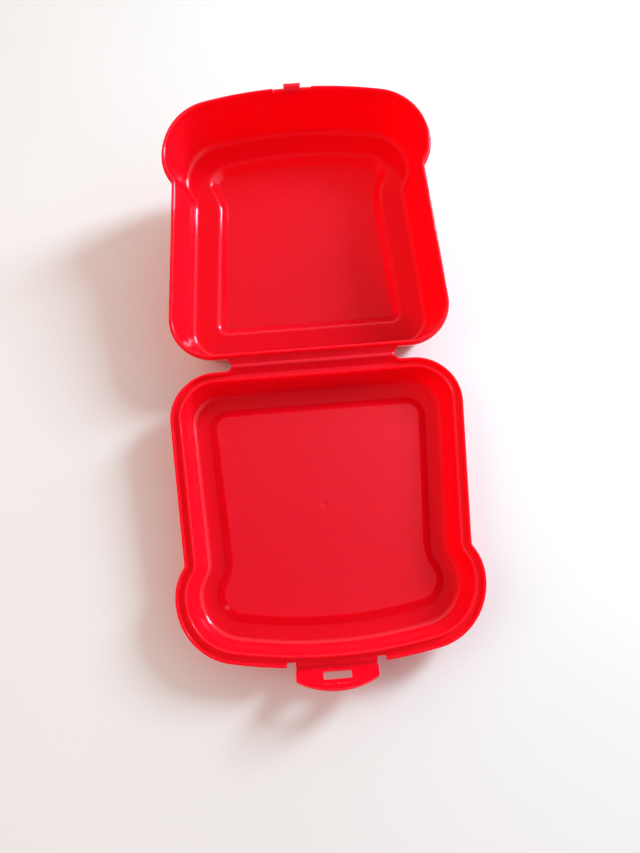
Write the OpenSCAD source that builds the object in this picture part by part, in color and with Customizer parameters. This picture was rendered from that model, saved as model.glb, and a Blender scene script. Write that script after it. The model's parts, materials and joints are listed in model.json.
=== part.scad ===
// Lunch box in the outline of a slice of toast: a deep tub and a shallower lid, joined along their
// straight backs by a living hinge, with a latch flap on the lid that snaps over a catch on the tub.
// Each half is drawn in its own frame: X across, Y away from the main hinge axis, Z out of the rim
// plane. Insets run inwards from the outline. The halves are then tipped to lie open on a table.

/* [Outline] */
// Half width across the sides of the tub, at side_ref_y
side_half_w = 71.7; // [70:0.1:74]
// Distance from the hinge axis at which side_half_w is measured
side_ref_y = 26; // [24:1:30]
// How fast the sides draw in towards the neck
side_taper = 0.0865; // [0.07:0.0005:0.1]
// Half width across the ears
ear_half_w = 70; // [68:0.1:72]
// Distance from the hinge axis to the middle of the crown
crown_y = 143.2; // [138:0.1:150]
// Distance from the hinge axis to the straight back edge
back_y = 3.6; // [3.4:0.1:5]
// Radius of the back corners
corner_r = 21.8; // [18:0.1:26]
// Radius of the hollow between side and ear
neck_r = 2.8; // [2:0.1:5]
// Radius of the ear below its widest point
ear_r = 22.1; // [20:0.1:25]
// Radius of the shoulder between ear and crown
shoulder_r = 29.2; // [27:0.1:33]
// Radius of the crown
crown_r = 245; // [200:1:320]

/* [Walls] */
// Thickness of walls and floors
wall = 1.4; // [1:0.1:1.8]
// Inner radius where a wall meets its ledge
foot_r = 3.5; // [2:0.1:4.5]
// Gap left between facing edges of the two halves when the box is shut
shut_gap = 0.3; // [0.2:0.05:0.5]

/* [Tub] */
// Depth from the rim plane to the ledge around the tub's floor
tub_depth = 29; // [24:0.5:36]
// How far the tub's wall draws in from rim to foot
tub_draft = 3.1; // [1:0.1:5]
// Inset of the tub's floor panel
tub_panel_inset = 23.8; // [22:0.1:26]
// How far that panel lies below the ledge
tub_panel_drop = 3.9; // [2:0.1:3.9]
// Corner radius of that panel
tub_panel_r = 1.5; // [1:0.1:4]
// Height of the tub's lip above the rim plane
tub_lip_h = 1.8; // [1:0.1:2]
// Thickness of that lip
tub_lip_w = 1.5; // [1.2:0.1:1.6]
// Width of the flange that runs outside the lip
tub_flange_w = 0.9; // [0.6:0.1:1.2]
// Depth of that flange
tub_flange_h = 2; // [1.5:0.1:3]

/* [Lid] */
// How far the lid's skirt stands outside the tub's outline
lid_overhang = 1.05; // [0.9:0.05:1.5]
// Depth from the rim plane to the ledge around the lid's panel
lid_depth = 17; // [14:0.5:22]
// How far the lid's wall draws in from lip to foot
lid_draft = 1.9; // [1:0.1:4]
// Inset of the lid's panel
lid_panel_inset = 20; // [18:0.1:22]
// How far that panel stands up from the ledge, inside
lid_panel_rise = 2.6; // [1:0.1:4]
// Corner radius of that panel
lid_panel_r = 6; // [4:0.1:8]
// Thickness of the skirt
skirt_w = 1.3; // [1:0.1:1.4]
// Depth of the channel that takes the tub's lip
channel_h = 2.6; // [2.3:0.1:3]
// Inset of the channel's inner wall
channel_inset = 4.1; // [4:0.1:4.4]
// Thickness of the lip inside the channel
lid_lip_w = 1.2; // [1:0.1:1.4]

/* [Hinge] */
// Length of the living hinge
hinge_len = 83; // [60:1:90]
// Radius of the hinge's film, drawn as a round bead
film_r = 0.5; // [0.4:0.05:0.6]
// Thickness of the land on each side of the film
land_t = 1.4; // [1:0.1:1.6]
// Angle between the open halves
open_angle = 168.8; // [160:0.1:180]

/* [Latch] */
// Width of the latch flap
flap_w = 36.6; // [34:0.1:40]
// Length of the flap from its fold to its tip
flap_len = 12; // [11:0.1:14]
// Length of the flap's straight sides
flap_side = 6.4; // [5:0.1:8]
// How far the flap stands up from the rim plane while the box lies open
flap_raise = 50; // [20:1:60]
// Width of the notch beside the flap
notch_w = 3.8; // [2:0.1:4]
// Depth of that notch into the rim
notch_depth = 2.7; // [2:0.1:3.5]
// Width of the slot in the flap
slot_w = 12.4; // [11:0.1:14]
// Height of that slot
slot_h = 4.4; // [4.2:0.1:5]
// Distance from the fold to the slot
slot_from_fold = 2.2; // [2:0.1:2.2]
// Width of the catch on the tub
catch_w = 8.7; // [7:0.1:10]
// Width of the low stretch of the tub's lip behind the catch
relief_w = 22; // [16:1:30]

/* [Hidden] */
red = [0.87, 0.09, 0.13];
deep_red = [0.72, 0.04, 0.09];
bright_red = [0.96, 0.22, 0.22];
eps = 0.01;
arc_n = 10;
fillet_n = 4;
panel_ear_r = 2;
fit_gap = 0.08;
edge_z = -shut_gap / 2;

// Tub
tub_lip_inset = tub_flange_w + tub_lip_w;
tub_slope = tub_draft / tub_depth;
tub_step_run = 4.2;
relief_depth = 1.2;
relief_slope = 1.5;

// Lid
lid_lip_inset = channel_inset + lid_lip_w;
lid_slope = lid_draft / lid_depth;
lid_step_run = 4.1;
floor_t = 1.2;
rim_bottom = channel_h + floor_t;
lid_lip_top = -0.2;

// Gate marks
gate_r = 2.2;
gate_depth = 0.4;
pip_r = 0.7;
pip_h = 0.3;
pip_from_fold = 8.6;

// Hinge and latch
land_top_end = 0.95;
latch_film_r = 0.35;
film_half_t = 0.2;
hinge_relief = 0.9;
flap_t = floor_t;
flap_corner_r = 1.5;
fold_y = crown_y + lid_overhang + 0.3;
fold_z = -channel_h - flap_t / 2;
flap_inner_y = fold_y - flap_t / 2;
catch_tip_y = flap_inner_y + flap_t + 0.4;
catch_low = fold_z + slot_from_fold + shut_gap;
catch_high = 2.4;
catch_r = 0.5;

function unit(v) = v / norm(v);
function polar(r, t) = [r * cos(t), r * sin(t)];

// Centre and points of the arc that rounds the corner b between a and c
function corner_half(a, b, c) = acos(unit(a - b) * unit(c - b)) / 2;
function corner_centre(a, b, c, r) =
    b + unit(unit(a - b) + unit(c - b)) * r / sin(corner_half(a, b, c));
function wrap(t) = t > 180 ? t - 360 : t < -180 ? t + 360 : t;
function rounded(a, b, c, r) =
    let (m = corner_centre(a, b, c, r),
         reach = r / tan(corner_half(a, b, c)),
         p = b + unit(a - b) * reach - m,
         q = b + unit(c - b) * reach - m,
         start = atan2(p.y, p.x),
         turn = wrap(atan2(q.y, q.x) - start))
    [for (i = [0 : fillet_n]) m + polar(r, start + turn * i / fillet_n)];

// A section's vertices are [inset, z, radius]; those with a radius are rounded
function section(v) = [for (i = [0 : len(v) - 1])
    each v[i].z == 0 ? [[v[i].x, v[i].y]]
        : rounded([v[i - 1].x, v[i - 1].y], [v[i].x, v[i].y], [v[i + 1].x, v[i + 1].y], v[i].z)];

// Points of an arc from angle t0 to t1
function arc(m, r, t0, t1, n) = [for (i = [0 : n]) m + polar(r, t0 + (t1 - t0) * i / n)];

// Right half of the outline at an inset. rc, re and rs are the radii of corner, ear and shoulder there
function half_outline(inset, rc, re, rs) =
    let (lean = atan(side_taper),
         n = [cos(lean), sin(lean)],
         d = [-sin(lean), cos(lean)],
         side = [side_half_w, side_ref_y] - n * inset,
         corner_y = back_y + inset + rc,
         corner = [side.x - (rc + n.y * (corner_y - side.y)) / n.x, corner_y],
         rt = crown_r - inset,
         crown = [0, crown_y - crown_r],
         shoulder_x = ear_half_w - inset - rs,
         shoulder = [shoulder_x, crown.y + sqrt(pow(rt - rs, 2) - pow(shoulder_x, 2))],
         ear = [ear_half_w - inset - re, shoulder.y],
         rn = neck_r + inset,
         from_ear = side + n * rn - ear,
         along = from_ear * d,
         neck = side + n * rn - d * (along + sqrt(pow(along, 2) - from_ear * from_ear + pow(re + rn, 2))),
         to_neck = atan2(neck.y - ear.y, neck.x - ear.x),
         to_shoulder = atan2(shoulder.y - crown.y, shoulder.x))
    concat(arc(corner, rc, -90, lean, arc_n + 2),
           arc(neck, rn, lean + 180, to_neck + 180, arc_n - 4),
           [for (i = [1 : arc_n - 2]) ear + polar(re, to_neck * (1 - i / (arc_n - 1)))],
           arc(shoulder, rs, 0, to_shoulder, arc_n),
           [for (i = [1 : arc_n]) crown + polar(rt, 90 - (90 - to_shoulder) * (1 - i / arc_n))]);

function both_sides(half) =
    concat(half, [for (i = [len(half) - 2 : -1 : 0]) [-half[i].x, half[i].y]]);

// Whole outline at an inset. Around a panel the radii grow outwards from the panel's own radii
function outline(inset, panel) =
    let (of_panel = panel != undef && inset > panel[0] / 2,
         more = of_panel ? panel[0] - inset : -inset)
    both_sides(half_outline(inset,
        more + (of_panel ? panel[1] : corner_r),
        more + (of_panel ? panel[2] : ear_r),
        of_panel ? shoulder_r - inset : more + shoulder_r));

// Closed solid whose section runs from the middle of the underside, over the rim, to the middle inside
module skin(profile, panel, out) {
    rings = [for (p = profile) [for (q = outline(p.x - out, panel)) [q.x, q.y, p.y]]];
    n = len(rings[0]);
    last = len(rings) - 1;
    mid_y = crown_y / 2;
    points = concat([for (r = rings) each r],
                    [[0, mid_y, profile[0].y], [0, mid_y, profile[last].y]]);
    walls = [for (i = [0 : last - 1]) for (j = [0 : n - 1])
        let (k = (j + 1) % n)
        each [[i * n + j, i * n + n + j, i * n + n + k],
              [i * n + j, i * n + n + k, i * n + k]]];
    under = [for (j = [0 : n - 1]) [n * (last + 1), j, (j + 1) % n]];
    inside = [for (j = [0 : n - 1]) [n * (last + 1) + 1, last * n + (j + 1) % n, last * n + j]];
    polyhedron(points, concat(walls, under, inside), convexity = 8);
}

// Flat band between two insets
module band(inset_a, inset_b, low, high) {
    translate([0, 0, low])
        linear_extrude(high - low)
            difference() {
                polygon(outline(inset_a));
                polygon(outline(inset_b));
            }
}

// Inner and outer section of a half. step is the height of its panel above the ledge
function shell_section(lip, slope, depth, top, edge, panel, step) =
    let (run = panel - edge,
         shift = wall * tan(atan2(step, run) / 2),
         thick = wall * sqrt(1 + slope * slope))
    section([[panel + shift, step - depth - wall, 0],
             [edge + shift, -depth - wall, 0],
             [lip + slope * (depth + wall) - thick, -depth - wall, foot_r + wall],
             [lip + slope * top - thick, -top, 0],
             [lip + slope * top, -top, 0],
             [lip + slope * depth, -depth, foot_r],
             [edge, -depth, 0],
             [panel, step - depth, 0]]);

// Centre of the rounded foot of a half, as [inset, z]
function foot_centre(lip, slope, depth) =
    corner_centre([lip, 0], [lip + slope * depth, -depth], [lip + slope * depth + 1, -depth], foot_r);

// The open box rests on the tub's back foot and the lid's front foot, which share one radius
tub_foot = foot_centre(tub_lip_inset, tub_slope, tub_depth);
lid_foot = foot_centre(lid_lip_inset, lid_slope, lid_depth);
tub_rest = [back_y + tub_foot.x, tub_foot.y];
lid_rest = [crown_y + lid_overhang - lid_foot.x, lid_foot.y];
vee = 180 - open_angle;
lid_droop = atan((tub_rest.y * cos(vee) + tub_rest.x * sin(vee) - lid_rest.y)
                 / (tub_rest.y * sin(vee) - tub_rest.x * cos(vee) - lid_rest.x));
tub_tip = lid_droop + vee;
hinge_z = foot_r + wall - lid_rest.y * cos(lid_droop) + lid_rest.x * sin(lid_droop);
far_y = catch_tip_y * cos(tub_tip) + catch_high * sin(tub_tip);
flap_tip = [fold_y, fold_z] + polar(flap_len, flap_raise) - polar(flap_t / 2, flap_raise + 90);
near_y = flap_tip.x * cos(lid_droop) + flap_tip.y * sin(lid_droop);
hinge_y = (near_y - far_y) / 2;

module tub_pose() {
    translate([0, hinge_y, hinge_z])
        rotate([tub_tip, 0, 0])
            children();
}

module lid_pose() {
    translate([0, hinge_y, hinge_z])
        rotate([lid_droop, 0, 0])
            rotate([0, 0, 180])
                children();
}

module gate_mark(z) {
    translate([0, crown_y / 2, z])
        cylinder(h = gate_depth + eps, r = gate_r, $fn = 32);
}

module tub_shell() {
    color(red)
        tub_pose()
            difference() {
                skin(shell_section(tub_lip_inset, tub_slope, tub_depth, tub_flange_h,
                                   tub_panel_inset - tub_step_run, tub_panel_inset, -tub_panel_drop),
                     [tub_panel_inset, tub_panel_r, panel_ear_r], 0);
                gate_mark(-tub_depth - tub_panel_drop - wall - eps);
            }
}

module tub_rim() {
    color(deep_red)
        tub_pose()
            difference() {
                union() {
                    band(0, tub_lip_inset, -tub_flange_h, edge_z);
                    band(tub_flange_w, tub_lip_inset, edge_z - eps, tub_lip_h);
                }
                translate([0, crown_y + 1, tub_lip_h - relief_depth])
                    rotate([90, 0, 0])
                        linear_extrude(tub_lip_inset + 2)
                            polygon([[-relief_w / 2 + relief_slope, 0], [relief_w / 2 - relief_slope, 0],
                                     [relief_w / 2, 2 * relief_depth], [-relief_w / 2, 2 * relief_depth]]);
            }
}

module tub_catch() {
    color(bright_red)
        tub_pose()
            difference() {
                translate([0, catch_tip_y, -catch_high])
                    rotate([90, 0, 0])
                        linear_extrude(catch_tip_y - crown_y + tub_lip_inset)
                            polygon(both_sides(concat(
                                arc([catch_w / 2 - catch_r, catch_r], catch_r, -90, 0, fillet_n),
                                arc([catch_w / 2 - catch_r, catch_high - catch_low - catch_r], catch_r,
                                    0, 90, fillet_n),
                                [[0, catch_high - catch_low]])));
                translate([0, 0, -catch_high - 1])
                    linear_extrude(catch_high + 1 + edge_z)
                        polygon(outline(0));
                linear_extrude(catch_high, center = true)
                    polygon(outline(tub_flange_w));
            }
}

module tub_hinge_land() {
    color(deep_red)
        tub_pose()
            rotate([90, 0, 90])
                linear_extrude(hinge_len, center = true)
                    difference() {
                        polygon([[0, edge_z], [back_y, edge_z], [back_y, edge_z - land_t],
                                 [hinge_relief, edge_z - land_t], [0, -film_r]]);
                        circle(r = film_r + fit_gap, $fn = 32);
                    }
}

module hinge_film() {
    color(bright_red)
        lid_pose()
            rotate([0, 90, 0])
                cylinder(h = hinge_len, r = film_r, center = true, $fn = 32);
}

// Outer end of the lid's rim where the hinge land joins it
land_end = back_y - lid_overhang + skirt_w;

module lid_hinge_land() {
    color(deep_red)
        lid_pose()
            rotate([90, 0, 90])
                linear_extrude(hinge_len, center = true)
                    difference() {
                        polygon([[0, edge_z], [land_top_end, edge_z], [land_end, -channel_h],
                                 [land_end, -rim_bottom], [land_end - 1, -rim_bottom], [0, -film_r]]);
                        circle(r = film_r, $fn = 32);
                    }
}

module lid_shell() {
    color(red)
        lid_pose()
            difference() {
                skin(shell_section(lid_lip_inset, lid_slope, lid_depth, rim_bottom,
                                   lid_panel_inset - lid_step_run, lid_panel_inset, lid_panel_rise),
                     [lid_panel_inset - lid_overhang, lid_panel_r, lid_panel_r], lid_overhang);
                gate_mark(lid_panel_rise - lid_depth - gate_depth);
            }
}

module lid_rim() {
    color(deep_red)
        lid_pose()
            difference() {
                union() {
                    band(-lid_overhang, lid_lip_inset - lid_overhang, -rim_bottom, -channel_h);
                    band(-lid_overhang, skirt_w - lid_overhang, -channel_h - eps, edge_z);
                    band(channel_inset - lid_overhang, lid_lip_inset - lid_overhang,
                         -channel_h - eps, lid_lip_top);
                }
                translate([-hinge_len / 2, 0, -rim_bottom - 1])
                    cube([hinge_len, land_end, rim_bottom + 2]);
                translate([-flap_w / 2 - notch_w, crown_y + lid_overhang - skirt_w - 1, -channel_h])
                    cube([flap_w + 2 * notch_w, skirt_w + 2, channel_h + 1]);
                translate([-flap_w / 2 - notch_w, fold_y - hinge_relief, -rim_bottom - 1])
                    cube([flap_w + 2 * notch_w, 2, rim_bottom + 2]);
                for (s = [-1, 1])
                    translate([s * (flap_w + notch_w) / 2, crown_y + lid_overhang, 0])
                        cube([notch_w, 2 * notch_depth, 4 * rim_bottom], center = true);
            }
}

module latch_film() {
    color(bright_red)
        lid_pose()
            translate([0, fold_y, fold_z]) {
                rotate([0, 90, 0])
                    cylinder(h = flap_w, r = latch_film_r, center = true, $fn = 32);
                translate([-flap_w / 2, -hinge_relief, -film_half_t])
                    cube([flap_w, hinge_relief, 2 * film_half_t]);
            }
}

// Flap seen from above, with its fold at the origin and its tip towards +Y
module flap_outline() {
    rise = flap_len - flap_side;
    tip_r = (pow(flap_w / 2, 2) + pow(rise, 2)) / (2 * rise);
    tip_y = flap_len - tip_r;
    corner_x = flap_w / 2 - flap_corner_r;
    corner = [corner_x, tip_y + sqrt(pow(tip_r - flap_corner_r, 2) - pow(corner_x, 2))];
    lean = atan2(corner.y - tip_y, corner_x);
    half = concat([[flap_w / 2, hinge_relief]],
                  arc(corner, flap_corner_r, 0, lean, fillet_n),
                  [for (i = [1 : arc_n]) [0, tip_y] + polar(tip_r, 90 - (90 - lean) * (1 - i / arc_n))]);
    difference() {
        polygon(both_sides(half));
        translate([-slot_w / 2, slot_from_fold])
            square([slot_w, slot_h]);
    }
}

module latch_flap() {
    color(red)
        lid_pose()
            translate([0, fold_y, fold_z])
                rotate([flap_raise, 0, 0])
                    difference() {
                        union() {
                            translate([0, 0, -flap_t / 2])
                                linear_extrude(flap_t)
                                    flap_outline();
                            translate([-flap_w / 2, 0, -film_half_t])
                                cube([flap_w, hinge_relief + eps, 2 * film_half_t]);
                            translate([0, pip_from_fold, flap_t / 2 - eps])
                                cylinder(h = pip_h + eps, r = pip_r, $fn = 24);
                        }
                        rotate([0, 90, 0])
                            cylinder(h = flap_w + 1, r = latch_film_r + fit_gap, center = true, $fn = 32);
                    }
}

tub_shell();
tub_rim();
tub_catch();
tub_hinge_land();
hinge_film();
lid_hinge_land();
lid_shell();
lid_rim();
latch_film();
latch_flap();
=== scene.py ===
import json
import math

import bmesh
import bpy
from mathutils import Matrix, Vector


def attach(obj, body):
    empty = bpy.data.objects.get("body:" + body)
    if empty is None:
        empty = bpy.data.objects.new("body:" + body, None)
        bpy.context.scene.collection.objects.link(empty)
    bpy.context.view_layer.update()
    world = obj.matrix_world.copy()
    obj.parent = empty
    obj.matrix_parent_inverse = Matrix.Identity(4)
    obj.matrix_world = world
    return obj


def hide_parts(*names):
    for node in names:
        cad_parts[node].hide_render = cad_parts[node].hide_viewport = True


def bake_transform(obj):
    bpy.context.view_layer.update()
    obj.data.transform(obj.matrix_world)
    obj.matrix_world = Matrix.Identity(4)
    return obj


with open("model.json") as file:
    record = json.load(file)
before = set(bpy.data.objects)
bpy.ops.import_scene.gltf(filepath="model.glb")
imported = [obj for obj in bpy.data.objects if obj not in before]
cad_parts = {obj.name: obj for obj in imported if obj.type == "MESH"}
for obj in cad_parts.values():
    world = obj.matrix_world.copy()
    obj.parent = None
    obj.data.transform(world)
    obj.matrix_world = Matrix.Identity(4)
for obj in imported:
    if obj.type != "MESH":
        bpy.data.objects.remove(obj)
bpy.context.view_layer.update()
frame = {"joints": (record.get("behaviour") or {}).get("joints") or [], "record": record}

# The lunch box as it looks. Each half is one smooth moulding, swept round the slice-of-toast outline in its
# own frame: X across, Y away from the hinge axis, Z out of the rim plane, in millimetres. Insets run inwards.

MM = 0.001

# Outline
SIDE_HALF_W, SIDE_REF_Y, SIDE_TAPER = 71.7, 26.0, 0.0865
EAR_HALF_W = 70.0
CROWN_Y, CROWN_R = 143.2, 245.0
BACK_Y = 3.6
CORNER_R, NECK_R, EAR_R, SHOULDER_R = 21.8, 2.8, 22.1, 29.2

# Walls
WALL = 1.4
FOOT_R = 3.5
EDGE_Z = -0.15
# The moulded skins are drawn in by this much, so that they stay inside the CAD's box
HAIR = 0.06

# Tub
TUB_DEPTH, TUB_DRAFT = 29.0, 3.1
TUB_PANEL_INSET, TUB_PANEL_DROP, TUB_STEP_RUN = 23.8, 3.9, 4.2
TUB_PANEL_R, TUB_PANEL_EAR_R = 1.5, 2.0
TUB_FLANGE_W, TUB_FLANGE_H = 0.9, 2.0
TUB_LIP_W, TUB_LIP_H = 1.5, 1.8
RELIEF_DEPTH, RELIEF_HALF_W, RELIEF_RAMP = 1.2, 9.5, 0.75

# Lid
LID_OVERHANG = 1.05
LID_DEPTH, LID_DRAFT = 17.0, 1.9
LID_PANEL_INSET, LID_PANEL_RISE, LID_STEP_RUN = 20.0, 2.6, 4.1
LID_PANEL_R = 6.0
SKIRT_W = 1.3
CHANNEL_H, CHANNEL_INSET = 2.6, 4.1
LID_LIP_W, LID_LIP_TOP = 1.2, -0.2
FLOOR_T = 1.2
RIM_BOTTOM = CHANNEL_H + FLOOR_T

# Hinge and latch
HINGE_HALF_LEN = 41.5
LAND_END = BACK_Y - LID_OVERHANG + SKIRT_W
LAND_T, LAND_RUNOUT = 1.4, 2.9
# The hinge lands keep their full shape up to this far from the middle
LAND_HALF_LEN = HINGE_HALF_LEN - 0.5
FLAP_HALF_W, FLAP_LEN, FLAP_SIDE, FLAP_CORNER_R = 18.3, 12.0, 6.4, 1.5
FLAP_RAISE = 50
FLAP_ROOT = 0.9
NOTCH_W, NOTCH_DEPTH = 3.8, 2.7
FLAP_EDGE_R = 0.22
SLOT_HALF_W, SLOT_FROM_FOLD, SLOT_H, SLOT_CORNER_R = 6.2, 2.2, 4.4, 0.8
PIP_FROM_FOLD, PIP_R, PIP_H, PIP_SUNK = 8.6, 0.8, 0.28, 0.05
# The catch's section across the tub's front: (y, z) points, half its width and the radius of its edges
CATCH_SECTION = [(141.0, -1.7), (143.6, -2.4), (144.9, -2.4), (145.55, -1.7), (145.55, -0.5), (144.8, 0.7),
                 (142.2, 0.7), (141.4, 0.2)]
CATCH_HALF_W, CATCH_EDGE_R = 4.35, 0.25
# The webs end just inside the parts they join
HINGE_WEB_HALF_LEN, LATCH_WEB_HALF_LEN = HINGE_HALF_LEN - 0.1, FLAP_HALF_W - 0.15
FOLD_Y = CROWN_Y + LID_OVERHANG + 0.3
FOLD_Z = -CHANNEL_H - FLOOR_T / 2
GATE_R, GATE_DEPTH = 2.2, 0.4

record = frame["record"]
joints = {j["name"]: j for j in frame["joints"]}
mounts = {m["name"]: m for m in record["mounts"]}


def tipped(mount):
    """Matrix to the main hinge's axis, tipped as the mount's flat face is."""
    down = mounts[mount]["axis"]
    tip = math.atan2(down[1], -down[2])
    hinge = Matrix.Translation(joints["main_hinge"]["pos_m"])
    return hinge @ Matrix.Rotation(tip, 4, "X")


def half_frame(mount, turn):
    """Matrix that takes a half from its own frame to the row frame."""
    return tipped(mount) @ Matrix.Rotation(turn, 4, "Z")


TUB_FRAME = half_frame("tub_base", 0)
LID_FRAME = half_frame("lid_top", math.pi)
FOLD_FRAME = LID_FRAME @ Matrix.Translation(Vector((0, FOLD_Y, FOLD_Z)) * MM)
RAISED = Matrix.Rotation(math.radians(FLAP_RAISE), 4, "X")


# ---------------------------------------------------------------- outline

def polar(r, t):
    """Point at radius r and angle t."""
    return Vector((r * math.cos(t), r * math.sin(t)))


def arc(centre, r, t0, t1, n):
    """n + 1 points round a centre, from angle t0 to t1."""
    return [centre + polar(r, t0 + (t1 - t0) * i / n) for i in range(n + 1)]


def steps(a, b, n):
    """n + 1 even values from a to b."""
    return [a + (b - a) * i / n for i in range(n + 1)]


def both_edges(x, gap=0.12):
    """Two samples, one on each side of a sharp edge."""
    return [x - gap, x + gap]


# Samples across the back and the crown, close together where the rim changes
BACK_XS = steps(0, 36, 12) + [38.5, 40.3] + steps(41, 44, 12)
CROWN_XS = (steps(0, 8, 10) + [8.6, 9.1] + steps(RELIEF_HALF_W, RELIEF_HALF_W + RELIEF_RAMP, 5) + [10.6, 11.2]
            + steps(12, 17, 5) + [17.7] + both_edges(FLAP_HALF_W) + [19.3, 20.6]
            + both_edges(FLAP_HALF_W + NOTCH_W) + steps(22.5, 23.9, 5) + [24.8, 26.5, 28, 30])
CORNER_N, SIDE_N, NECK_N, EAR_N, SHOULDER_N, CREST_N = 20, 20, 12, 18, 24, 8


def half_outline(inset, rc, re, rs):
    """Right half of the outline at an inset, from the middle of the back to the middle of the crown."""
    lean = math.atan(SIDE_TAPER)
    n, d = polar(1, lean), polar(1, lean + math.pi / 2)
    side = Vector((SIDE_HALF_W, SIDE_REF_Y)) - n * inset
    corner_y = BACK_Y + inset + rc
    corner = Vector((side.x - (rc + n.y * (corner_y - side.y)) / n.x, corner_y))
    rt = CROWN_R - inset
    crown = Vector((0, CROWN_Y - CROWN_R))
    shoulder_x = EAR_HALF_W - inset - rs
    shoulder = Vector((shoulder_x, crown.y + math.sqrt((rt - rs) ** 2 - shoulder_x ** 2)))
    ear = Vector((EAR_HALF_W - inset - re, shoulder.y))
    rn = NECK_R + inset
    from_ear = side + n * rn - ear
    along = from_ear.dot(d)
    neck = side + n * rn - d * (along + math.sqrt(along ** 2 - from_ear.length_squared + (re + rn) ** 2))
    to_neck = math.atan2(neck.y - ear.y, neck.x - ear.x)
    to_shoulder = math.atan2(shoulder.y - crown.y, shoulder.x)
    points = [Vector((x, BACK_Y + inset)) for x in BACK_XS]
    points += [Vector((x, BACK_Y + inset)) for x in steps(BACK_XS[-1], corner.x, 3)[1:]]
    points += arc(corner, rc, -math.pi / 2, lean, CORNER_N)[1:]
    a, b = points[-1], neck - n * rn
    points += [a + (b - a) * t for t in steps(0, 1, SIDE_N)[1:]]
    points += arc(neck, rn, lean + math.pi, to_neck + math.pi, NECK_N)[1:]
    points += arc(ear, re, to_neck, 0, EAR_N)[1:]
    points += arc(shoulder, rs, 0, to_shoulder, SHOULDER_N)[1:]
    crest = steps(points[-1].x, CROWN_XS[-1], CREST_N)[1:-1] + CROWN_XS[::-1]
    return points + [Vector((x, crown.y + math.sqrt(rt ** 2 - x ** 2))) for x in crest]


def outline(inset, panel):
    """Whole outline at an inset. Around a panel the radii grow outwards from the panel's own radii."""
    panel_inset, corner_r, ear_r = panel
    if inset > panel_inset / 2:
        more = panel_inset - inset
        half = half_outline(inset, corner_r + more, ear_r + more, SHOULDER_R - inset)
    else:
        half = half_outline(inset, CORNER_R - inset, EAR_R - inset, SHOULDER_R - inset)
    return half + [Vector((-p.x, p.y)) for p in half[-2:0:-1]]


HALF_N = len(half_outline(0, CORNER_R, EAR_R, SHOULDER_R))
BACK_N, CROWN_N = len(BACK_XS), len(CROWN_XS)


def place_of(j):
    """("back" or "crown" or "", distance from the middle) of sample j of an outline."""
    k = j if j < HALF_N else 2 * (HALF_N - 1) - j
    if k < BACK_N:
        return "back", BACK_XS[k]
    if k >= HALF_N - CROWN_N:
        return "crown", CROWN_XS[HALF_N - 1 - k]
    return "", 0.0


# ---------------------------------------------------------------- sections

# Longest stretch of a section that is left in one piece, and the distance under which points are the same
LONGEST = 3.0
SAME = 1e-6


def fillet(a, b, c, r, n):
    """Points of the arc of radius r that rounds the corner b between a and c."""
    u, v = (a - b).normalized(), (c - b).normalized()
    half = math.acos(max(-1, min(1, u.dot(v)))) / 2
    centre = b + (u + v).normalized() * r / math.sin(half)
    p, q = b + u * r / math.tan(half) - centre, b + v * r / math.tan(half) - centre
    t0 = math.atan2(p.y, p.x)
    turn = (math.atan2(q.y, q.x) - t0 + math.pi) % (2 * math.pi) - math.pi
    return arc(centre, r, t0, t0 + turn, n)


def section(vertices, splits=None):
    """Rounded section from [inset, z, radius, arc segments]. Returns its points, the corner that each belongs
    to, and the number of pieces each straight stretch was cut into, so that a variant can match it."""
    runs = []
    for i, (x, z, r, n) in enumerate(vertices):
        here = Vector((x, z))
        if r == 0:
            runs.append([here])
        else:
            before, after = Vector(vertices[i - 1][:2]), Vector(vertices[i + 1][:2])
            runs.append(fillet(before, here, after, r, n))
    if splits is None:
        splits = [max(1, math.ceil((b[0] - a[-1]).length / LONGEST)) for a, b in zip(runs, runs[1:])]
    points, corner = list(runs[0]), [0] * len(runs[0])
    for i, run in enumerate(runs[1:], 1):
        start, n = points[-1], splits[i - 1]
        between = [start + (run[0] - start) * k / n for k in range(1, n)]
        points += between + run
        corner += [i - 0.5] * len(between) + [i] * len(run)
    return points, corner, splits


def smooth(t):
    """0 up to t = 0, 1 from t = 1, and an easy curve between them."""
    t = max(0.0, min(1.0, t))
    return t * t * (3 - 2 * t)


def inside(x, half_w, ramp=0.0):
    """1 inside half_w, 0 beyond half_w + ramp."""
    if ramp == 0:
        return 1.0 if x < half_w else 0.0
    return smooth((half_w + ramp - x) / ramp)


def swept(base, variants, panel, out):
    """Closed rings of a half, from the middle underneath, over the rim, to the middle inside. A variant is
    (where, weight over x, section, line): it replaces the base section at the back or the crown, and a line
    (first corner, last corner, y) lays the points of those corners on a straight line at y."""
    points, corner, splits = section(base)
    rings = [[Vector((p.x, p.y, q.y)) for p in outline(q.x - out, panel)] for q in points]
    for where, weight, vertices, line in variants:
        changed = section(vertices, splits)[0]
        for i, (q, c) in enumerate(zip(changed, corner)):
            if (q - points[i]).length < SAME and line is None:
                continue
            ring = [Vector((p.x, p.y, q.y)) for p in outline(q.x - out, panel)]
            for j, p in enumerate(ring):
                place, x = place_of(j)
                w = weight(x) if place == where else 0.0
                if w == 0:
                    continue
                if line is not None and line[0] <= c <= line[1]:
                    p = Vector((rings[i][j].x, line[2] - q.x, q.y))
                rings[i][j] = rings[i][j].lerp(p, w)
    return rings


# A panel's inner rings: as shares of its outline first, then as circles round the gate, in millimetres
PANEL_SHARES = [0.97, 0.92, 0.84, 0.74, 0.63, 0.52, 0.42]
GATE_RADII = [14, 11, 8.5, 6.5, 5, 4, 3.2, 2.7, 2.4, 2.2, 2.05, 1.85, 1.6, 1.3, 1.0, 0.8, 0.6, 0.4, 0.2]


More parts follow.
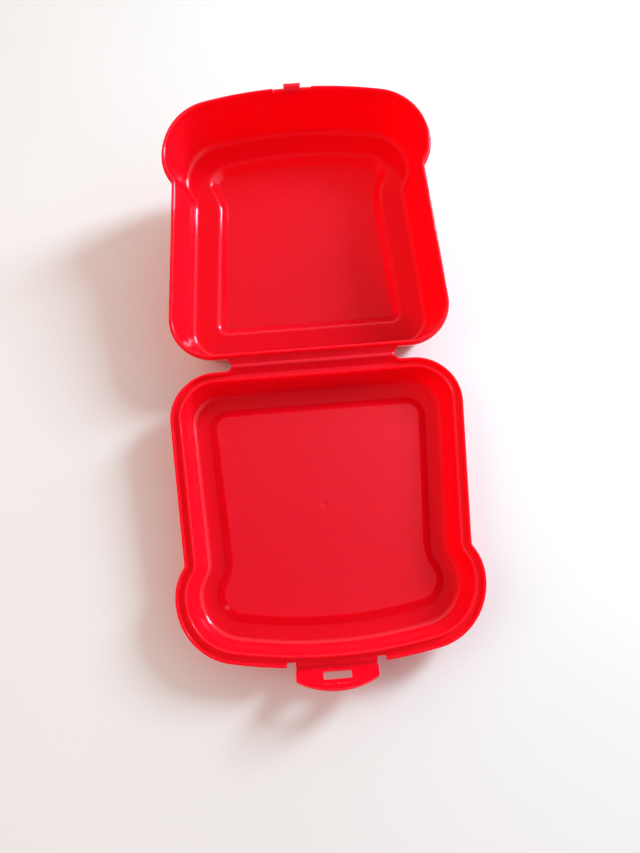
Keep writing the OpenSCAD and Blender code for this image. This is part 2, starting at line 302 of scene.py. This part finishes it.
def cap(ring, centre_y, relief):
    """Rings that run from the edge of a flat panel to its middle, turning round on the way. relief gives
    the height of the surface at a distance from the middle."""
    centre = Vector((0, centre_y, ring[0].z))
    spokes = [p - centre for p in ring]
    rings = []
    for t in PANEL_SHARES:
        rings.append([centre + s * t + Vector((0, 0, relief(s.length * t))) for s in spokes])
    for r in GATE_RADII:
        rings.append([centre + s.normalized() * r + Vector((0, 0, relief(r))) for s in spokes])
    return rings, centre + Vector((0, 0, relief(0)))


def moulding(name, rings, under_relief, inside_relief, is_satin, matrix, body):
    """One closed mesh from the rings of a half, with its middle closed underneath and inside."""
    mid_y = CROWN_Y / 2
    under, under_pole = cap(rings[0], mid_y, under_relief)
    over, over_pole = cap(rings[-1], mid_y, inside_relief)
    all_rings = under[::-1] + rings + over
    n = len(rings[0])
    mesh = bmesh.new()
    rows = [[mesh.verts.new(p) for p in ring] for ring in all_rings]
    poles = [mesh.verts.new(under_pole), mesh.verts.new(over_pole)]
    for i, (a, b) in enumerate(zip(rows, rows[1:])):
        k = i - len(under)
        satin = 1 if is_satin(k) else 0
        for j in range(n):
            face = mesh.faces.new((a[j], a[(j + 1) % n], b[(j + 1) % n], b[j]))
            face.material_index = satin
    for pole, row in ((poles[0], rows[0]), (poles[1], rows[-1])):
        for j in range(n):
            mesh.faces.new((pole, row[j], row[(j + 1) % n])).material_index = 1
    return finished(name, mesh, matrix, body)


def finished(name, mesh, matrix, body):
    """Object from a mesh drawn in millimetres in a half's own frame."""
    mesh.transform(matrix @ Matrix.Scale(MM, 4))
    bmesh.ops.recalc_face_normals(mesh, faces=mesh.faces)
    data = bpy.data.meshes.new(name)
    mesh.to_mesh(data)
    mesh.free()
    for polygon in data.polygons:
        polygon.use_smooth = True
    piece = bpy.data.objects.new(name, data)
    bpy.context.scene.collection.objects.link(piece)
    weighted = piece.modifiers.new("flat faces stay flat", "WEIGHTED_NORMAL")
    weighted.weight = 100
    weighted.keep_sharp = False
    if body:
        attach(piece, body)
    return piece


# ---------------------------------------------------------------- tub

def bump(r, width):
    """1 at the middle, falling off smoothly over a width."""
    return math.exp(-(r / width) ** 2)


def tub_relief(r):
    """Inside of the tub's panel: a slight crown and a faint dimple over the gate."""
    return 0.18 * bump(r, 34) - 0.05 * bump(r, 2.6) + 0.06 * bump(r, 0.5)


def tub_gate(r):
    """Underside of the tub: a round recess with the broken stub of the sprue in it."""
    return 0.1 * bump(r, 34) + GATE_DEPTH * smooth((GATE_R - r) / 0.35) - 0.28 * smooth((0.85 - r) / 0.25)


def make_tub():
    """The deep half, in one skin: shell, flange and lip, and hinge land."""
    slope = TUB_DRAFT / TUB_DEPTH
    lip = TUB_FLANGE_W + TUB_LIP_W
    edge = TUB_PANEL_INSET - TUB_STEP_RUN
    thick = WALL * math.hypot(1, slope)
    shift = WALL * math.tan(math.atan2(-TUB_PANEL_DROP, TUB_STEP_RUN) / 2)
    floor, bottom = -TUB_DEPTH, -TUB_DEPTH - WALL
    flange = lip + slope * TUB_FLANGE_H - thick

    def profile(flange_end, flange_low, flange_high, round_low, lip_h):
        return [
            (TUB_PANEL_INSET + shift, bottom - TUB_PANEL_DROP, 1.0, 5),
            (edge + shift, bottom, 2.6, 6),
            (lip + slope * (TUB_DEPTH + WALL) - thick, bottom, FOOT_R + WALL, 10),
            (flange, -TUB_FLANGE_H, 0.3, 3),
            (flange_end[0], flange_low, round_low, 5),
            (flange_end[1], flange_high, round_low, 5),
            (TUB_FLANGE_W, EDGE_Z, 0.18, 3),
            (TUB_FLANGE_W, lip_h, 0.35, 5),
            (lip, lip_h, 1.0, 8),
            (lip + slope * TUB_DEPTH, floor, FOOT_R, 12),
            (edge, floor, 4.0, 12),
            (TUB_PANEL_INSET, floor - TUB_PANEL_DROP, 0.35, 4),
            (TUB_PANEL_INSET + 1.2, floor - TUB_PANEL_DROP, 0, 0)]

    def under(vertices):
        return [(TUB_PANEL_INSET + 1.2, bottom - TUB_PANEL_DROP, 0, 0)] + vertices

    # the land's ends are distances from the hinge axis, which lies BACK_Y outside the outline
    base = under(profile((0, 0), -TUB_FLANGE_H, EDGE_Z, 0.35, TUB_LIP_H))
    land = under(profile((0.9 - BACK_Y, 0.12 - BACK_Y), EDGE_Z - LAND_T, EDGE_Z, 0.15, TUB_LIP_H))
    relief = under(profile((0, 0), -TUB_FLANGE_H, EDGE_Z, 0.35, TUB_LIP_H - RELIEF_DEPTH))
    variants = [
        ("back", lambda x: inside(x, LAND_HALF_LEN, LAND_RUNOUT), land, None),
        ("crown", lambda x: inside(x, RELIEF_HALF_W, RELIEF_RAMP), relief, None)]
    panel = (TUB_PANEL_INSET, TUB_PANEL_R, TUB_PANEL_EAR_R)
    rings = swept(base, variants, panel, -HAIR)
    corner = section(base)[1]
    satin = satin_rows(corner, under=2, panel=12.4)
    return moulding("tub_moulding", rings, tub_gate, tub_relief, satin, TUB_FRAME, "tub")


def satin_rows(corner, under, panel):
    """Which rows of faces are textured: those before the corner under, and those from the corner panel on.
    Corners are counted along the section, and a straight stretch lies half way between two of them."""
    def is_satin(k):
        if k < 0 or k >= len(corner) - 1:
            return True
        c = (corner[k] + corner[k + 1]) / 2
        return c < under or c >= panel
    return is_satin


# ---------------------------------------------------------------- lid

def lid_relief(r):
    """Inside of the lid's panel: a slight crown, the soft swelling round the gate and its dimple."""
    return 0.15 * bump(r, 36) + 0.26 * bump(r, 4.6) - 0.4 * bump(r, 1.5)


def lid_under(r):
    """Underside of the lid's panel: it follows the crown."""
    return 0.15 * bump(r, 36)


def make_lid():
    """The shallow half, in one skin: shell, rim with its channel and notches, and hinge land."""
    slope = LID_DRAFT / LID_DEPTH
    lip = CHANNEL_INSET + LID_LIP_W
    edge = LID_PANEL_INSET - LID_STEP_RUN
    thick = WALL * math.hypot(1, slope)
    shift = WALL * math.tan(math.atan2(LID_PANEL_RISE, LID_STEP_RUN) / 2)
    floor, bottom = -LID_DEPTH, -LID_DEPTH - WALL

    def profile(low, high, high_in, channel, low_z=-RIM_BOTTOM, high_z=EDGE_Z, r=0.35):
        return [
            (LID_PANEL_INSET + shift + 2, bottom + LID_PANEL_RISE, 0, 0),
            (LID_PANEL_INSET + shift, bottom + LID_PANEL_RISE, 0.8, 4),
            (edge + shift, bottom, 1.2, 6),
            (lip + slope * (LID_DEPTH + WALL) - thick, bottom, FOOT_R + WALL, 10),
            (lip + slope * RIM_BOTTOM - thick, -RIM_BOTTOM, 0.3, 3),
            (low, low_z, r, 5),
            (high, high_z[0] if isinstance(high_z, tuple) else high_z, r, 5),
            (high_in, high_z[1] if isinstance(high_z, tuple) else high_z, r, 5),
            (channel, -CHANNEL_H, 0.25, 3),
            (CHANNEL_INSET, -CHANNEL_H, 0.3, 3),
            (CHANNEL_INSET, LID_LIP_TOP, 0.35, 5),
            (lip, LID_LIP_TOP, 0.75, 7),
            (lip + slope * LID_DEPTH, floor, FOOT_R, 12),
            (edge, floor, 0.8, 5),
            (LID_PANEL_INSET, floor + LID_PANEL_RISE, 1.1, 7),
            (LID_PANEL_INSET + 3, floor + LID_PANEL_RISE, 0, 0)]

    base = profile(0, 0, SKIRT_W, SKIRT_W)
    # the land's ends are distances from the hinge axis, which lies back outside the outline
    back = BACK_Y - LID_OVERHANG
    land = profile(2.85 - back, 0.12 - back, 0.95 - back, LAND_END - back, high_z=(-0.35, EDGE_Z), r=0.1)
    ledge = CROWN_Y + LID_OVERHANG

    def cut(y):
        """The skirt folded down to a plain edge of the channel's floor, and the corners whose points stand
        on a straight line at y: the four of the skirt, from its foot to the channel."""
        return profile(0, 0, 0.25, 0.6, high_z=(-CHANNEL_H - 0.25, -CHANNEL_H), r=0.08), (4.9, 8.1, y)

    flap_edge, flap_line = cut(FOLD_Y - FLAP_ROOT)
    notch_edge, notch_line = cut(ledge - NOTCH_DEPTH)
    variants = [
        ("back", lambda x: inside(x, LAND_HALF_LEN, LAND_RUNOUT), land, None),
        ("crown", lambda x: inside(x, FLAP_HALF_W + NOTCH_W), notch_edge, notch_line),
        ("crown", lambda x: inside(x, FLAP_HALF_W), flap_edge, flap_line)]
    panel = (LID_PANEL_INSET - LID_OVERHANG, LID_PANEL_R, LID_PANEL_R)
    rings = swept(base, variants, panel, LID_OVERHANG - HAIR)
    corner = section(base)[1]
    satin = satin_rows(corner, under=2, panel=14.4)
    return moulding("lid_moulding", rings, lid_under, lid_relief, satin, LID_FRAME, "lid")


# ---------------------------------------------------------------- latch, catch and webs

def plate(name, loops, thickness, edge_r):
    """bmesh of a flat plate with rounded edges, centred on z = 0, from closed loops of points."""
    curve = bpy.data.curves.new(name, "CURVE")
    curve.dimensions = "2D"
    curve.fill_mode = "BOTH"
    curve.extrude = thickness / 2 - edge_r
    curve.bevel_depth = edge_r
    curve.bevel_resolution = 3
    curve.offset = -edge_r
    for loop in loops:
        spline = curve.splines.new("POLY")
        spline.points.add(len(loop) - 1)
        for point, p in zip(spline.points, loop):
            point.co = (p[0], p[1], 0, 1)
        spline.use_cyclic_u = True
    holder = bpy.data.objects.new(name, curve)
    bpy.context.scene.collection.objects.link(holder)
    bpy.context.view_layer.update()
    data = holder.evaluated_get(bpy.context.evaluated_depsgraph_get()).to_mesh()
    mesh = bmesh.new()
    mesh.from_mesh(data)
    bmesh.ops.remove_doubles(mesh, verts=mesh.verts, dist=1e-4)
    bpy.data.objects.remove(holder)
    bpy.data.curves.remove(curve)
    return mesh


def round_rect(x0, y0, x1, y1, r, n=5):
    """Closed loop of points round a rectangle with rounded corners."""
    corners = [(x1 - r, y0 + r, -90), (x1 - r, y1 - r, 0), (x0 + r, y1 - r, 90), (x0 + r, y0 + r, 180)]
    points = []
    for x, y, t in corners:
        points += arc(Vector((x, y)), r, math.radians(t), math.radians(t + 90), n)
    return points


def flap_outline():
    """Closed loop round the flap: straight root and sides, rounded corners and a bowed tip."""
    rise = FLAP_LEN - FLAP_SIDE
    tip_r = (FLAP_HALF_W ** 2 + rise ** 2) / (2 * rise)
    tip = Vector((0, FLAP_LEN - tip_r))
    x = FLAP_HALF_W - FLAP_CORNER_R
    corner = Vector((x, tip.y + math.sqrt((tip_r - FLAP_CORNER_R) ** 2 - x ** 2)))
    lean = math.atan2(corner.y - tip.y, x)
    half = [Vector((FLAP_HALF_W, FLAP_ROOT)), Vector((FLAP_HALF_W, corner.y))]
    half += arc(corner, FLAP_CORNER_R, 0, lean, 8)[1:]
    half += arc(tip, tip_r, lean, math.pi / 2, 24)[1:]
    return half + [Vector((-p.x, p.y)) for p in half[-2::-1]]


def joined(*meshes):
    """One skin round overlapping closed meshes, so that light scatters through them as through one body."""
    objects = []
    for mesh in meshes:
        data = bpy.data.meshes.new("part")
        mesh.to_mesh(data)
        mesh.free()
        objects.append(bpy.data.objects.new("part", data))
        bpy.context.scene.collection.objects.link(objects[-1])
    for other in objects[1:]:
        union = objects[0].modifiers.new("union", "BOOLEAN")
        union.operation = "UNION"
        union.solver = "EXACT"
        union.object = other
    bpy.context.view_layer.update()
    data = objects[0].evaluated_get(bpy.context.evaluated_depsgraph_get()).to_mesh()
    mesh = bmesh.new()
    mesh.from_mesh(data)
    for part in objects:
        skin = part.data
        bpy.data.objects.remove(part)
        bpy.data.meshes.remove(skin)
    return mesh


def pip(x, y, z, r, h, n=24, rows=5):
    """A small closed dome that stands h above z."""
    mesh = bmesh.new()
    rings = []
    for i in range(rows):
        t = math.pi / 2 * i / rows
        ring_r, ring_z = r * math.cos(t), z + h * math.sin(t)
        turns = steps(0, 2 * math.pi, n)[:-1]
        circle = [(x + ring_r * math.cos(a), y + ring_r * math.sin(a), ring_z) for a in turns]
        rings.append([mesh.verts.new(p) for p in circle])
    low = [mesh.verts.new((v.co.x, v.co.y, z - h)) for v in rings[0]]
    rings.insert(0, low)
    for a, b in zip(rings, rings[1:]):
        for j in range(n):
            mesh.faces.new((a[j], a[(j + 1) % n], b[(j + 1) % n], b[j]))
    mesh.faces.new(low[::-1])
    top = mesh.verts.new((x, y, z + h))
    for j in range(n):
        mesh.faces.new((rings[-1][j], rings[-1][(j + 1) % n], top))
    return mesh


def make_flap():
    """The latch flap with its slot and moulding pip."""
    slot = round_rect(-SLOT_HALF_W, SLOT_FROM_FOLD, SLOT_HALF_W, SLOT_FROM_FOLD + SLOT_H, SLOT_CORNER_R)
    blank = plate("flap", [flap_outline(), slot], FLOOR_T, FLAP_EDGE_R)
    mark = pip(0, PIP_FROM_FOLD, FLOOR_T / 2 - PIP_SUNK, PIP_R, PIP_H)
    mesh = joined(blank, mark)
    return finished("latch_flap_moulding", mesh, FOLD_FRAME @ RAISED, "latch")


def make_catch():
    """The nub on the tub's front flange that the flap's slot goes over."""
    mesh = plate("catch", [[Vector(p) for p in CATCH_SECTION]], 2 * CATCH_HALF_W, CATCH_EDGE_R)
    # the plate's x and y become the half's y and z
    mesh.transform(Matrix(((0, 0, 1, 0), (1, 0, 0, 0), (0, 1, 0, 0), (0, 0, 0, 1))))
    return finished("tub_catch_moulding", mesh, TUB_FRAME, "tub")


def web(half_len, section_points, across=60):
    """bmesh of a strip along X with a closed section of points (y, z)."""
    mesh = bmesh.new()
    rows = []
    for x in steps(-half_len, half_len, across):
        rows.append([mesh.verts.new((x, y, z)) for y, z in section_points])
    n = len(section_points)
    for a, b in zip(rows, rows[1:]):
        for j in range(n):
            mesh.faces.new((a[j], b[j], b[(j + 1) % n], a[(j + 1) % n]))
    mesh.faces.new(rows[0])
    mesh.faces.new(rows[-1][::-1])
    return mesh


def make_hinge_web():
    """Thin web on the main hinge axis. It lies in both halves' lands and bends between them. Its top is
    highest on the axis and sags into both lands, and its tub side is turned up by the angle at rest."""
    joint = joints["main_hinge"]
    vee = -math.radians(joint["range_deg"][0])
    reach, half_t = 1.1, 0.17
    crest, sag, sharpness = 0.02, 0.34, 1.6
    top = []
    for t in steps(-1, 1, 16):
        z = crest - sag * abs(t) ** sharpness
        y = t * reach
        if t > 0:
            y, z = y * math.cos(vee) - z * math.sin(vee), y * math.sin(vee) + z * math.cos(vee)
        top.append((y, z))
    low = [(y, z - 2 * half_t) for y, z in reversed(top)]
    mesh = web(HINGE_WEB_HALF_LEN, top + low)
    piece = finished("hinge_web", mesh, tipped("lid_top"), None)
    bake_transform(piece)
    return piece


def make_latch_web():
    """Thin web across the flap's fold, bent as the flap stands."""
    reach, half_t, thinned, half_turn = 1.1, 0.28, 0.14, 0.45
    top, low = [], []
    for t in steps(-1, 1, 16):
        half = half_t - thinned * (1 - t * t)
        turn = Matrix.Rotation(math.radians(FLAP_RAISE) * smooth((t + half_turn) / (2 * half_turn)), 2)
        for side, points in ((half, top), (-half, low)):
            points.append(turn @ Vector((t * reach, side)))
    mesh = web(LATCH_WEB_HALF_LEN, top + low[::-1], 40)
    piece = finished("latch_web", mesh, FOLD_FRAME, None)
    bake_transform(piece)
    return piece


# ---------------------------------------------------------------- materials

def node(tree, kind, **inputs):
    """A shader node with values set on its sockets, or sockets linked to other nodes' outputs."""
    made = tree.nodes.new(kind)
    for name, value in inputs.items():
        socket = made.inputs[name.replace("_", " ")]
        if isinstance(value, bpy.types.NodeSocket):
            tree.links.new(value, socket)
        else:
            socket.default_value = value
    return made


def ramp(tree, factor, low, high):
    made = tree.nodes.new("ShaderNodeMapRange")
    tree.links.new(factor, made.inputs["Value"])
    made.inputs["To Min"].default_value = low
    made.inputs["To Max"].default_value = high
    return made.outputs["Result"]


def moulded_plastic(name, deep, light, rough, grain, wave, scatter=0.004):
    """Polypropylene: a saturated body colour that lets light through thin walls, with the grain of the
    mould's surface, a slow unevenness from shrinkage, and fine rub marks. Grain and wave are bump heights in
    metres, and scatter is how far red light travels inside the plastic; 0 leaves the scattering out."""
    material = bpy.data.materials.new(name)
    material.use_nodes = True
    tree = material.node_tree
    shader = tree.nodes["Principled BSDF"]
    place = node(tree, "ShaderNodeTexCoord").outputs["Object"]
    cloud = node(tree, "ShaderNodeTexNoise", Vector=place, Scale=18.0, Detail=3.0).outputs["Fac"]
    fine = node(tree, "ShaderNodeTexNoise", Vector=place, Scale=1900.0, Detail=2.0).outputs["Fac"]
    slow = node(tree, "ShaderNodeTexNoise", Vector=place, Scale=38.0, Detail=1.0).outputs["Fac"]
    rubbed = node(tree, "ShaderNodeTexNoise", Vector=place, Scale=260.0, Detail=6.0, Roughness=0.7)
    rub = rubbed.outputs["Fac"]

    colour = tree.nodes.new("ShaderNodeMix")
    colour.data_type = "RGBA"
    colour.inputs["A"].default_value = (*deep, 1)
    colour.inputs["B"].default_value = (*light, 1)
    tree.links.new(ramp(tree, cloud, 0.0, 1.0), colour.inputs["Factor"])
    tree.links.new(colour.outputs["Result"], shader.inputs["Base Color"])

    tree.links.new(ramp(tree, rub, rough - 0.05, rough + 0.06), shader.inputs["Roughness"])

    uneven = node(tree, "ShaderNodeBump", Strength=1.0, Distance=wave, Height=slow)
    bumped = uneven.outputs["Normal"]
    grainy = node(tree, "ShaderNodeBump", Strength=1.0, Distance=grain, Height=fine, Normal=bumped)
    tree.links.new(grainy.outputs["Normal"], shader.inputs["Normal"])

    shader.inputs["IOR"].default_value = 1.49
    shader.inputs["Subsurface Weight"].default_value = 1.0 if scatter else 0.0
    shader.inputs["Subsurface Radius"].default_value = (1.0, 0.05, 0.06)
    shader.inputs["Subsurface Scale"].default_value = scatter
    shader.inputs["Specular Tint"].default_value = (1.0, 0.8, 1.0, 1.0)
    return material


def dress(piece, *materials):
    """Gives a piece its materials, in the order of its face indices."""
    for material in materials:
        piece.data.materials.append(material)


def table_top():
    """Pale painted table with a little sheen."""
    material = bpy.data.materials.new("table_paint")
    material.use_nodes = True
    tree = material.node_tree
    shader = tree.nodes["Principled BSDF"]
    place = node(tree, "ShaderNodeTexCoord").outputs["Object"]
    cloud = node(tree, "ShaderNodeTexNoise", Vector=place, Scale=5.0, Detail=4.0).outputs["Fac"]
    colour = tree.nodes.new("ShaderNodeMix")
    colour.data_type = "RGBA"
    colour.inputs["A"].default_value = (0.80, 0.80, 0.805, 1)
    colour.inputs["B"].default_value = (0.86, 0.86, 0.86, 1)
    tree.links.new(cloud, colour.inputs["Factor"])
    tree.links.new(colour.outputs["Result"], shader.inputs["Base Color"])
    shader.inputs["Roughness"].default_value = 0.55
    return material


# ---------------------------------------------------------------- stage

def make_stage():
    """The table, a wide flat grid at the height of zero."""
    size = 3.0
    mesh = bmesh.new()
    n = 8
    grid = [[mesh.verts.new((x, y, 0)) for x in steps(-size, size, n)] for y in steps(-size, size, n)]
    for a, b in zip(grid, grid[1:]):
        for j in range(n):
            mesh.faces.new((a[j], a[j + 1], b[j + 1], b[j]))
    data = bpy.data.meshes.new("table")
    mesh.to_mesh(data)
    mesh.free()
    table = bpy.data.objects.new("table", data)
    table.data.materials.append(table_top())
    bpy.context.scene.collection.objects.link(table)


def aim(thing, at):
    """Turns a light to face a point."""
    thing.rotation_mode = "QUATERNION"
    thing.rotation_quaternion = (Vector(at) - thing.location).to_track_quat("-Z", "Y")


def area_light(name, azimuth, elevation, distance, width, height, power, colour):
    """A rectangle of light that faces the box, placed by angles in degrees and a distance in metres."""
    light = bpy.data.lights.new(name, "AREA")
    light.shape = "RECTANGLE"
    light.size, light.size_y = width, height
    light.energy = power
    light.color = colour
    holder = bpy.data.objects.new(name, light)
    a, e = math.radians(azimuth), math.radians(elevation)
    holder.location = Vector((math.cos(a) * math.cos(e), math.sin(a) * math.cos(e), math.sin(e))) * distance
    bpy.context.scene.collection.objects.link(holder)
    aim(holder, (0, 0, 0.02))
    return holder


# Light that comes from each side of the room: a direction and a colour. The left and near sides send mostly
# red, which brings the panels to the red of the photo
ROOM = [((1, 0, 0), (1.20, 1.36, 1.36)), ((0, 1, 0), (1.12, 1.14, 1.00)), ((-1, 0, 0), (0.50, 0.10, 0.10)),
        ((0, -1, 0), (0.50, 0.02, 0.03)), ((0, 0, 1), (0.13, 0.12, 0.12))]
# What a camera sees past the table
BACKDROP = (0.80, 0.80, 0.80)
WINDOW_POWER, WINDOW_COLOUR = 8.8, (0.69, 0.93, 1.03)
FILL_POWER, FILL_COLOUR = 10.0, (0.86, 0.76, 0.62)


def make_lights():
    """One window, a weak fill that stays out of the gloss, and a room that is brightest on the window's side
    and dark overhead. Seen directly, past the edge of the table, the room is a plain pale backdrop."""
    area_light("window", azimuth=29.5, elevation=33.3, distance=0.92, width=0.20, height=0.32,
               power=WINDOW_POWER, colour=WINDOW_COLOUR)
    fill = area_light("fill", azimuth=180, elevation=40, distance=1.5, width=1.2, height=1.2,
                      power=FILL_POWER, colour=FILL_COLOUR)
    fill.visible_glossy = False
    world = bpy.data.worlds.new("room")
    bpy.context.scene.world = world
    world.use_nodes = True
    tree = world.node_tree
    way = node(tree, "ShaderNodeTexCoord").outputs["Generated"]
    total = (0, 0, 0)
    for direction, colour in ROOM:
        facing = tree.nodes.new("ShaderNodeVectorMath")
        facing.operation = "DOT_PRODUCT"
        tree.links.new(way, facing.inputs[0])
        facing.inputs[1].default_value = direction
        share = node(tree, "ShaderNodeMapRange", Value=facing.outputs["Value"], From_Min=0.2, From_Max=1.0)
        add = tree.nodes.new("ShaderNodeVectorMath")
        add.operation = "MULTIPLY_ADD"
        tree.links.new(share.outputs["Result"], add.inputs[0])
        add.inputs[1].default_value = colour
        if isinstance(total, tuple):
            add.inputs[2].default_value = total
        else:
            tree.links.new(total, add.inputs[2])
        total = add.outputs["Vector"]
    seen = tree.nodes.new("ShaderNodeMix")
    seen.data_type = "RGBA"
    tree.links.new(tree.nodes.new("ShaderNodeLightPath").outputs["Is Camera Ray"], seen.inputs["Factor"])
    tree.links.new(total, seen.inputs["A"])
    seen.inputs["B"].default_value = (*BACKDROP, 1)
    tree.links.new(seen.outputs["Result"], tree.nodes["Background"].inputs["Color"])


# The camera stands over the lid and looks almost straight down. Its place was fitted to the photo's outlines
CAMERA_FROM_HINGE_M = (-0.00126, -0.112575, 0.242651)
CAMERA_TURN_DEG = (17.568, 0.889, -4.389)
CAMERA_LENS, SENSOR_WIDTH = 22.13, 36


def make_camera():
    camera = bpy.data.cameras.new("camera")
    camera.lens = CAMERA_LENS
    camera.sensor_width = SENSOR_WIDTH
    holder = bpy.data.objects.new("camera", camera)
    holder.location = Vector(joints["main_hinge"]["pos_m"]) + Vector(CAMERA_FROM_HINGE_M)
    holder.rotation_euler = [math.radians(a) for a in CAMERA_TURN_DEG]
    bpy.context.scene.collection.objects.link(holder)
    bpy.context.scene.camera = holder


# ---------------------------------------------------------------- the box

RED = {"deep": (0.94, 0.002, 0.014), "light": (0.98, 0.004, 0.020)}
BENT_RED = {"deep": (0.85, 0.006, 0.02), "light": (0.95, 0.012, 0.03)}
gloss = moulded_plastic("moulded_red_polished", **RED, rough=0.07, grain=0.000002, wave=0.00006)
satin = moulded_plastic("moulded_red_textured", **RED, rough=0.42, grain=0.000012, wave=0.00008)
thin = moulded_plastic("film_red_bent", **BENT_RED, rough=0.3, grain=0.000004, wave=0.00002, scatter=0.0)

tub = make_tub()
dress(tub, gloss, satin)
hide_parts("tub_shell", "tub_rim", "tub_hinge_land")

lid = make_lid()
dress(lid, gloss, satin)
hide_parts("lid_shell", "lid_rim", "lid_hinge_land")

catch = make_catch()
dress(catch, gloss)
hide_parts("tub_catch")

flap = make_flap()
dress(flap, gloss)
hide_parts("latch_flap")

hinge_web = make_hinge_web()
dress(hinge_web, thin)
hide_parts("hinge_film")

latch_web = make_latch_web()
dress(latch_web, gloss)
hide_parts("latch_film")

make_stage()
make_lights()
make_camera()
bpy.context.scene.view_settings.view_transform = "Standard"
